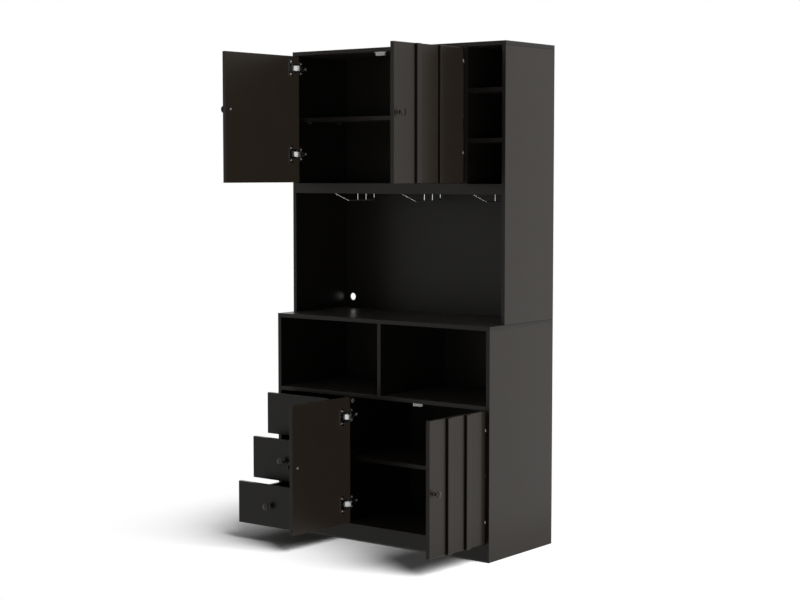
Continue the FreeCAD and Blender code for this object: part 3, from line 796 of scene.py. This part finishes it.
@dataclass(frozen=True)
class HingedDoor:
    """Door with its battens, knob and two concealed hinges; places are in millimetres on the closed door."""

    name: str
    palette: Palette
    thick: float = 15.0
    wall_gap: float = 2.0
    link_half: float = 7.0
    flange: float = 1.2
    flange_screw_in: float = 44.0
    flange_screw_rise: float = 23.0
    plate: float = 2.0
    wing_screw_deep: float = 28.0
    wing_screw_rise: float = 17.5
    rear_screw_deep: float = 56.0
    tongue_half: float = 9.0
    pin_ring: float = 24.5
    pin_angles: tuple[float, float] = (50.0, 78.0)
    web_ring: float = 29.0
    web_screw_angle: float = 46.0
    web_screw_rise: float = 4.4
    knob_in: float = 25.0
    knob_screw: float = 2.0
    flange_head: RoundHead = RoundHead(4.0, 1.5)
    plate_head: RoundHead = RoundHead(4.2, 1.8)
    pin_end: RoundHead = RoundHead(1.8, 0.7, Mark.PLAIN, sunk=0.1, rings=6, around=16)
    web_head: RoundHead = RoundHead(2.6, 0.8, Mark.SLOT, sunk=0.6)
    knob_head: RoundHead = RoundHead(4.6, 1.1, sunk=knob_screw)

    def build(self) -> None:
        """Dresses the door and its hinges and adds their screws and pins."""
        for part in ("door", "battens", "knob", "irons", "links"):
            self.palette.dress(f"{self.name}_{part}")
        self.flange_screws()
        self.plate_screws()
        self.hinge_pins()
        self.web_screws()
        self.knob_end()

    def joint(self) -> dict:
        """The door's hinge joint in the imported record."""
        return next(j for j in frame["joints"] if j["name"] == f"{self.name}_hinge")

    def side(self) -> float:
        """1 where the free edge of the closed door lies towards +X, otherwise -1."""
        return -float(self.joint()["axis"][2])

    def corner(self) -> np.ndarray:
        """Outer hinge corner of the door, about which it swings."""
        return np.array(self.joint()["pos_m"]) / MM

    def opening(self) -> float:
        """Angle in radians by which the door stands open at rest."""
        return -math.radians(self.joint()["range_deg"][0])

    def width(self) -> float:
        """Width of the door, from the depth of its box in the rest pose."""
        low, high = box_mm(f"{self.name}_door")
        angle = self.opening()
        return (high[1] - low[1] - self.thick * abs(math.cos(angle))) / math.sin(angle)

    def hinge_heights(self) -> tuple[float, float]:
        """Heights of the two hinges, from the box of the links."""
        low, high = box_mm(f"{self.name}_links")
        return (high[2] - self.link_half, low[2] + self.link_half)

    def spot(self, along: float, deep: float, height: float) -> tuple[float, float, float]:
        """A place on the closed door, along its width from the hinge edge and inwards from its outer face."""
        corner = self.corner()
        return (corner[0] + self.side() * along, corner[1] + deep, height)

    def swung(self, shape: Shape) -> Shape:
        """Turns a shape laid out on the closed door about the hinge corner to the rest pose.

        Args:
            shape: Points in millimetres and quads.

        Returns:
            The turned points and the quads.
        """
        points, quads = shape
        angle = -self.side() * self.opening()
        c, s = math.cos(angle), math.sin(angle)
        turn = np.array([[c, s, 0.0], [-s, c, 0.0], [0.0, 0.0, 1.0]])
        return (points - self.corner()) @ turn + self.corner(), quads

    def flange_screws(self) -> None:
        """Two cross-head screws in the flange of each hinge cup."""
        seats = [self.spot(self.flange_screw_in, self.thick + self.flange, z + rise)
                 for z in self.hinge_heights() for rise in (-self.flange_screw_rise, self.flange_screw_rise)]
        heads = self.flange_head.copies(seats, np.array([0.0, 1.0, 0.0]))
        self.fit("flange_screws", self.swung(heads), f"{self.name}_door", Slot.HINGE)

    def plate_screws(self) -> None:
        """Wing screws and the rear setting screw of each mounting plate on the carcass."""
        face = self.plate - self.wall_gap
        seats = [self.spot(face, self.wing_screw_deep, z + rise)
                 for z in self.hinge_heights() for rise in (-self.wing_screw_rise, self.wing_screw_rise)]
        seats += [self.spot(face, self.rear_screw_deep, z) for z in self.hinge_heights()]
        heads = self.plate_head.copies(seats, np.array([self.side(), 0.0, 0.0]))
        self.fit("plate_screws", heads, "cabinet", Slot.HINGE)

    def hinge_pins(self) -> None:
        """Riveted ends of the hinge pins on both cheeks of each tongue."""
        pins = []
        for way in (-1.0, 1.0):
            seats = []
            for angle in np.radians(self.pin_angles):
                u, v = self.pin_ring * math.cos(angle), self.pin_ring * math.sin(angle)
                seats += [self.spot(u, v, z + way * self.tongue_half) for z in self.hinge_heights()]
            pins.append(self.pin_end.copies(seats, way * UP))
        self.fit("hinge_pins", self.swung(joined(pins)), f"{self.name}_door", Slot.ZINC)

    def web_screws(self) -> None:
        """Slotted setting screws side by side on the curved web of each hinge."""
        angle = math.radians(self.web_screw_angle)
        out = np.array([self.side() * math.cos(angle), math.sin(angle), 0.0])
        along, deep = self.web_ring * math.cos(angle), self.web_ring * math.sin(angle)
        seats = [self.spot(along, deep, z + rise)
                 for z in self.hinge_heights() for rise in (-self.web_screw_rise, self.web_screw_rise)]
        heads = self.web_head.copies(seats, out)
        self.fit("web_screws", self.swung(heads), f"{self.name}_door", Slot.ZINC)

    def knob_end(self) -> None:
        """Domed end of the knob's screw on the inner face."""
        low, high = box_mm(f"{self.name}_knob")
        seat = self.spot(self.width() - self.knob_in, self.thick + self.knob_screw, (low[2] + high[2]) / 2)
        head = self.swung(self.knob_head.copies([seat], np.array([0.0, 1.0, 0.0])))
        fit_piece(f"{self.name}_knob_end", head, f"{self.name}_door", self.palette.pole)

    def fit(self, part: str, shape: Shape, body: str, slot: Slot) -> None:
        """Puts one of the door's pieces on a body in the finish of a slot."""
        fit_piece(f"{self.name}_{part}", shape, body, self.palette.by_slot[slot])


@dataclass(frozen=True)
class MagnetCatch:
    """Steel poles of the double catch above the meeting edges of two doors."""

    name: str
    left: HingedDoor
    right: HingedDoor
    door_gap: float = 2.0
    housing_tall: float = 12.5
    face_behind: float = 0.6
    pole_reach: float = 7.75
    pole_wide: float = 9.6
    pole_tall: float = 1.4
    pole_rise: float = 1.8
    pole_deep: float = 1.4
    pole_inset: float = 0.2
    pole_corner: float = 0.3

    def build(self) -> None:
        """Makes two pole strips for each door, as blocks with rounded corners."""
        _, high = box_mm(f"{self.left.name}_door")
        x = (self.left.corner()[0] + self.right.corner()[0]) / 2
        y = self.left.corner()[1] + self.left.thick + self.face_behind + self.pole_inset
        z = high[2] + self.door_gap - self.housing_tall / 2
        poles = []
        for side in (-self.pole_reach, self.pole_reach):
            for rise in (-self.pole_rise, self.pole_rise):
                low = (x + side - self.pole_wide / 2, y, z + rise - self.pole_tall / 2)
                top = (x + side + self.pole_wide / 2, y + self.pole_deep, z + rise + self.pole_tall / 2)
                poles.append(RoundedBlock(low, top, self.pole_corner).shape())
        fit_piece(self.name, joined(poles), "cabinet", self.left.palette.pole)


@dataclass(frozen=True)
class Drawer:
    """Drawer with its front, box, knob and inner rails."""

    name: str
    palette: Palette
    rail_web: float = 10.3
    rail_screws: tuple[float, ...] = (0.07, 0.5, 0.93)
    knob_head: RoundHead = RoundHead(4.5, 2.0)
    rail_head: RoundHead = RoundHead(3.4, 1.2)

    def build(self) -> None:
        """Dresses the drawer and adds its screws."""
        for part in ("front", "walls", "bottom", "knob", "rails"):
            self.palette.dress(f"{self.name}_{part}")
        self.knob_screw()
        self.rail_heads()

    def knob_screw(self) -> None:
        """Cross-head screw of the knob on the rear of the front."""
        low, high = box_mm(f"{self.name}_front")
        seat = ((low[0] + high[0]) / 2, high[1], (low[2] + high[2]) / 2)
        head = self.knob_head.copies([seat], np.array([0.0, 1.0, 0.0]))
        fit_piece(f"{self.name}_knob_screw", head, self.name, self.palette.by_slot[Slot.HINGE])

    def rail_heads(self) -> None:
        """Flat screws in the webs of the two inner rails."""
        low, high = box_mm(f"{self.name}_rails")
        middle = (low[2] + high[2]) / 2
        heads = []
        for x, way in ((low[0] + self.rail_web, -1.0), (high[0] - self.rail_web, 1.0)):
            seats = [(x, low[1] + share * (high[1] - low[1]), middle) for share in self.rail_screws]
            heads.append(self.rail_head.copies(seats, np.array([way, 0.0, 0.0])))
        finish = self.palette.by_slot[Slot.ZINC]
        fit_piece(f"{self.name}_rail_screws", joined(heads), self.name, finish)


# Studio


@dataclass(frozen=True)
class SoftLamp:
    """Distant light; its angle in degrees says how broad it is."""

    name: str
    way: tuple[float, float, float]
    colour: tuple[float, float, float]
    power: float
    angle: float
    lights: Lights
    named: tuple[str, ...]
    shadows: bool = True

    def build(self) -> None:
        """Makes the lamp and links it to the surfaces that it names."""
        lamp = bpy.data.lights.new(self.name, "SUN")
        lamp.color = self.colour
        lamp.energy = self.power
        lamp.angle = math.radians(self.angle)
        lamp.use_shadow = self.shadows
        made = bpy.data.objects.new(self.name, lamp)
        bpy.context.scene.collection.objects.link(made)
        x, y, z = self.way
        made.rotation_euler = (math.atan2(math.hypot(x, y), z), 0.0, math.atan2(x, -y))
        receivers = bpy.data.collections.new(f"{self.name}_receivers")
        for name in self.named:
            receivers.objects.link(frame["nodes"].get(name) or bpy.data.objects[name])
        for entry in receivers.collection_objects:
            entry.light_linking.link_state = self.lights.value
        made.light_linking.receiver_collection = receivers


FLOOR = "studio_floor"
SIDE_LIT = ("upper_left_door", "lower_left_door", "upper_right_door", "lower_right_door",
            "upper_right_battens", "lower_right_battens", "base_right_side", "hutch_right_side")
HANGERS = ("glass_hangers",)
WHITE_FITTINGS = ("cam_caps", "catches")
WHITE = (1.0, 1.0, 1.0)
WARM = (1.0, 0.882, 0.731)


@dataclass(frozen=True)
class Studio:
    """Pale floor, soft light and the camera of the photograph.

    A warm lamp lights the faces towards the bright side of the room. White ones light the rest of the boards,
    the bright fittings in the shade and the floor.
    """

    camera_at: tuple[float, float, float] = (3.7777, -4.9701, 1.3467)
    pitch: float = 4.283
    azimuth: float = 37.656
    lens: float = 76.38
    sensor: float = 36.0
    room_fill: float = 0.015
    floor_half: float = 40.0
    floor_lines: int = 9
    floor_drop: float = 0.5
    floor_tone: float = 0.9
    floor_rough: float = 0.9
    shade_middle: tuple[float, float, float] = (0.04, -0.15, 0.0)
    shade_half: tuple[float, float, float] = (0.42, 0.36, 1.0)
    shade_fade: float = 0.8
    window_gain: float = 0.5
    window_on_floor: tuple[float, float] = (0.55, 0.95)
    window_in_room: tuple[float, float] = (0.2, 0.5)
    lamps: tuple[SoftLamp, ...] = (
        SoftLamp("soft_key", (0.70, 0.34, 0.63), WHITE, 0.6, 14.0, Lights.ALL_BUT,
                 (FLOOR, *SIDE_LIT, *HANGERS, *WHITE_FITTINGS)),
        SoftLamp("side_key", (0.90, 0.0, 0.43), WARM, 2.2, 20.0, Lights.ONLY, SIDE_LIT, shadows=False),
        SoftLamp("hanger_key", (0.0, 0.38, -0.92), WHITE, 0.9, 20.0, Lights.ONLY, HANGERS, shadows=False),
        SoftLamp("fitting_key", (0.6, -0.6, -0.5), WHITE, 0.9, 20.0, Lights.ONLY, WHITE_FITTINGS,
                 shadows=False),
        SoftLamp("floor_key", (0.72, -0.06, 0.68), WHITE, 5.1, 42.0, Lights.ONLY, (FLOOR,)),
        SoftLamp("floor_glow", (0.0, 0.0, 1.0), WHITE, 0.25, 165.0, Lights.ONLY, (FLOOR,)))

    def build(self) -> None:
        """Makes the floor, the lamps, the surroundings and the camera."""
        self.floor()
        for lamp in self.lamps:
            lamp.build()
        self.surroundings()
        self.camera()

    def floor(self) -> None:
        """Large pale floor: a flat grid just under the cabinet's feet."""
        edge = np.linspace(-self.floor_half, self.floor_half, self.floor_lines)
        x, y = np.meshgrid(edge, edge, indexing="ij")
        index = np.arange(x.size).reshape(x.shape)
        quads = np.stack([index[:-1, :-1], index[1:, :-1], index[1:, 1:], index[:-1, 1:]], -1).reshape(-1, 4)
        points = np.stack([x, y, np.full_like(x, -self.floor_drop * MM)], -1).reshape(-1, 3)
        made = add_mesh(FLOOR, points, quads)
        made.data.materials.append(self.floor_paint())

    def floor_paint(self) -> bpy.types.Material:
        """Matte white that glows away from the cabinet and in mirrors, and lights no matte face.

        Returns:
            The material.
        """
        coat = Coat("floor_paint")
        tree = coat.tree
        path = node(tree, "ShaderNodeLightPath").outputs
        seen = combine(tree, "SUBTRACT", 1.0, path["Is Diffuse Ray"])
        offset = self.shift(tree, "SUBTRACT", object_place(tree), self.shade_middle)
        outside = self.shift(tree, "SUBTRACT", self.shift(tree, "ABSOLUTE", offset), self.shade_half)
        away = node(tree, "ShaderNodeVectorMath", operation="LENGTH")
        feed(tree, away.inputs[0], self.shift(tree, "MAXIMUM", outside, (0.0, 0.0, 0.0)))
        shown = spread(tree, away.outputs["Value"], (0.0, self.shade_fade), (0.0, 1.0))
        glow = combine(tree, "MAXIMUM", shown, path["Is Glossy Ray"])
        near = combine(tree, "MULTIPLY", combine(tree, "SUBTRACT", 1.0, glow), self.floor_tone)
        coat.feed("Base Color", grey(tree, combine(tree, "MULTIPLY", near, seen)))
        coat.feed("Roughness", self.floor_rough)
        coat.feed("Specular IOR Level", 0.0)
        coat.feed("Emission Color", (1.0, 1.0, 1.0, 1.0))
        lit = combine(tree, "MULTIPLY", glow, self.window(tree, self.window_on_floor))
        coat.feed("Emission Strength", combine(tree, "MULTIPLY", lit, seen))
        return coat.material

    def window(self, tree: Tree, reach: tuple[float, float]) -> Socket:
        """Adds the brighter right-hand part of the room, as a factor on its light.

        Args:
            tree: Tree that gets the nodes.
            reach: X at which the gain begins and is full, in metres on the floor and as a part of the
                direction in the room.

        Returns:
            The factor's socket.
        """
        parts = node(tree, "ShaderNodeSeparateXYZ")
        feed(tree, parts.inputs[0], object_place(tree))
        return spread(tree, parts.outputs["X"], reach, (1.0, 1.0 + self.window_gain))

    def shift(self, tree: Tree, how: str, first: Socket,
              second: tuple[float, float, float] | None = None) -> Socket:
        """Adds a Vector Math node.

        Args:
            tree: Tree that gets the node.
            how: Blender's name of the operation.
            first: Socket of the first vector.
            second: Second vector, where the operation has one.

        Returns:
            The result's socket.
        """
        made = node(tree, "ShaderNodeVectorMath", operation=how)
        feed(tree, made.inputs[0], first)
        if second is not None:
            made.inputs[1].default_value = second
        return made.outputs["Vector"]

    def surroundings(self) -> None:
        """White room that is seen and mirrored, brighter on its right, with little light of its own."""
        world = bpy.data.worlds.new("studio_room")
        bpy.context.scene.world = world
        world.use_nodes = True
        world.cycles.sampling_method = "NONE"
        tree = world.node_tree
        tree.nodes.clear()
        bounced = node(tree, "ShaderNodeLightPath").outputs["Is Diffuse Ray"]
        room = node(tree, "ShaderNodeBackground")
        room.inputs["Color"].default_value = (1.0, 1.0, 1.0, 1.0)
        seen = combine(tree, "SUBTRACT", 1.0, bounced)
        mirrored = combine(tree, "MULTIPLY", seen, self.window(tree, self.window_in_room))
        fill = combine(tree, "MULTIPLY", bounced, self.room_fill)
        feed(tree, room.inputs["Strength"], combine(tree, "ADD", mirrored, fill))
        feed(tree, node(tree, "ShaderNodeOutputWorld").inputs["Surface"], room.outputs[0])

    def camera(self) -> None:
        """Camera at the place and angle that the photograph's edges give."""
        lens = bpy.data.cameras.new("photo_camera")
        lens.lens = self.lens
        lens.sensor_width = self.sensor
        lens.dof.use_dof = False
        made = bpy.data.objects.new("photo_camera", lens)
        bpy.context.scene.collection.objects.link(made)
        made.location = self.camera_at
        made.rotation_euler = (math.radians(90.0 - self.pitch), 0.0, math.radians(self.azimuth))
        bpy.context.scene.camera = made


def main() -> None:
    """Dresses the cabinet, adds its small fittings and sets up the studio."""
    logging.basicConfig(level=logging.INFO)
    palette = Palette()
    BaseUnit(palette).build()
    Hutch(palette).build()
    for level in ("upper", "lower"):
        left = HingedDoor(f"{level}_left", palette)
        right = HingedDoor(f"{level}_right", palette)
        left.build()
        right.build()
        MagnetCatch(f"{level}_catch_poles", left, right).build()
    for number in (1, 2, 3):
        Drawer(f"drawer_{number}", palette).build()
    Studio().build()
    bpy.context.scene.view_settings.view_transform = "Standard"


if __name__ == "__main__":
    main()
